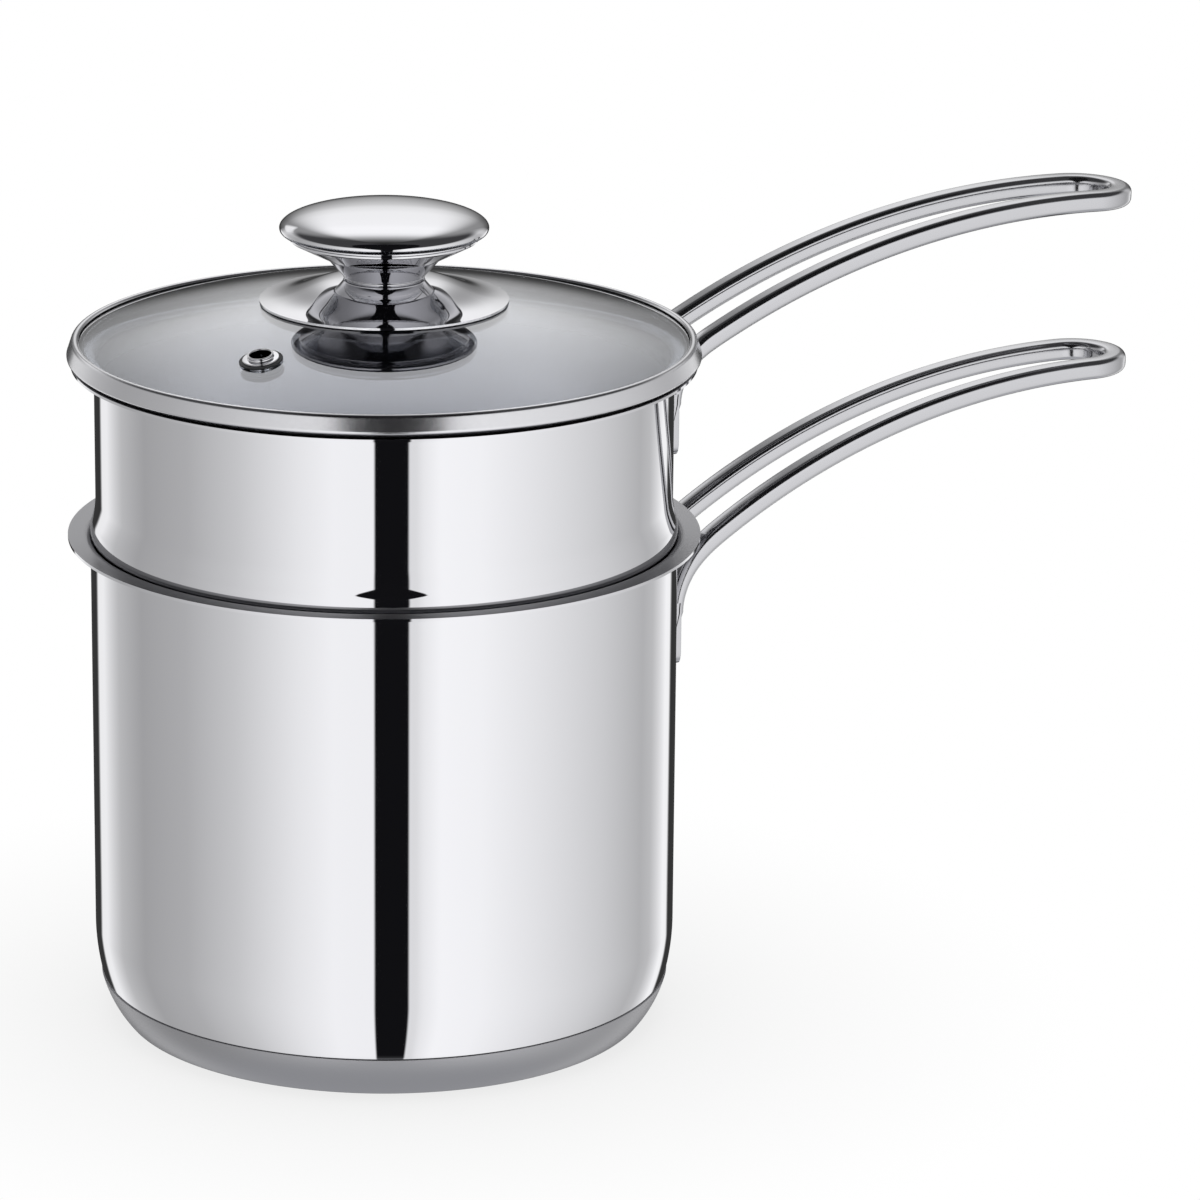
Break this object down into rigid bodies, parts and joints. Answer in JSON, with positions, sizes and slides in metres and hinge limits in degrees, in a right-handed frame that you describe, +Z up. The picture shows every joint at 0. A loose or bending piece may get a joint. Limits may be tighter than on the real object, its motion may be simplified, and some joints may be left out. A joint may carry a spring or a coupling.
{
  "type": "double boiler",
  "caption": "Stacked steel double boiler: saucepan with capsule base, insert pot resting in its rim, vented glass lid with a mushroom knob, and welded wire-loop handles.",
  "frame": {"origin": "centre of the resting face, on the axis of the pots, at the height of the stove", "axes": "+Z up along the axis of the pots, +X along the handles, +Y to the left of the handles"},
  "size_m": [0.3122, 0.1744, 0.2301],
  "materials": {
    "polished_steel": "mirror-polished stainless steel",
    "satin_steel": "satin stainless steel",
    "aluminium": "plain, sealed inside the capsule base",
    "glass": "clear tempered glass",
    "silicone": "dark grey silicone, matt",
    "brass": "plain turned brass"
  },
  "bodies": {
    "lower_pot": {"pot_body": "polished_steel", "base_core": "aluminium", "base_cap": "satin_steel", "pot_handle": "polished_steel", "pot_handle_welds": "satin_steel"},
    "insert": {"insert_body": "polished_steel", "insert_handle": "polished_steel", "insert_handle_welds": "satin_steel"},
    "lid": {"lid_band": "polished_steel", "lid_glass": "glass", "lid_seal": "silicone", "vent_eyelet": "polished_steel", "vent_upper_seal": "silicone", "vent_lower_seal": "silicone", "knob_cap": "polished_steel", "knob_cone": "polished_steel", "knob_disc": "polished_steel", "knob_boss": "brass", "knob_seal": "silicone", "knob_lower_seal": "silicone", "knob_washer": "satin_steel", "knob_screw": "satin_steel"}
  },
  "joints": [
    {"name": "insert_lift", "type": "slide", "parent": "lower_pot", "child": "insert", "axis": [0, 0, 1], "range_m": [0, 0.12]},
    {"name": "lid_lift", "type": "slide", "parent": "insert", "child": "lid", "axis": [0, 0, 1], "range_m": [0, 0.06]}
  ]
}
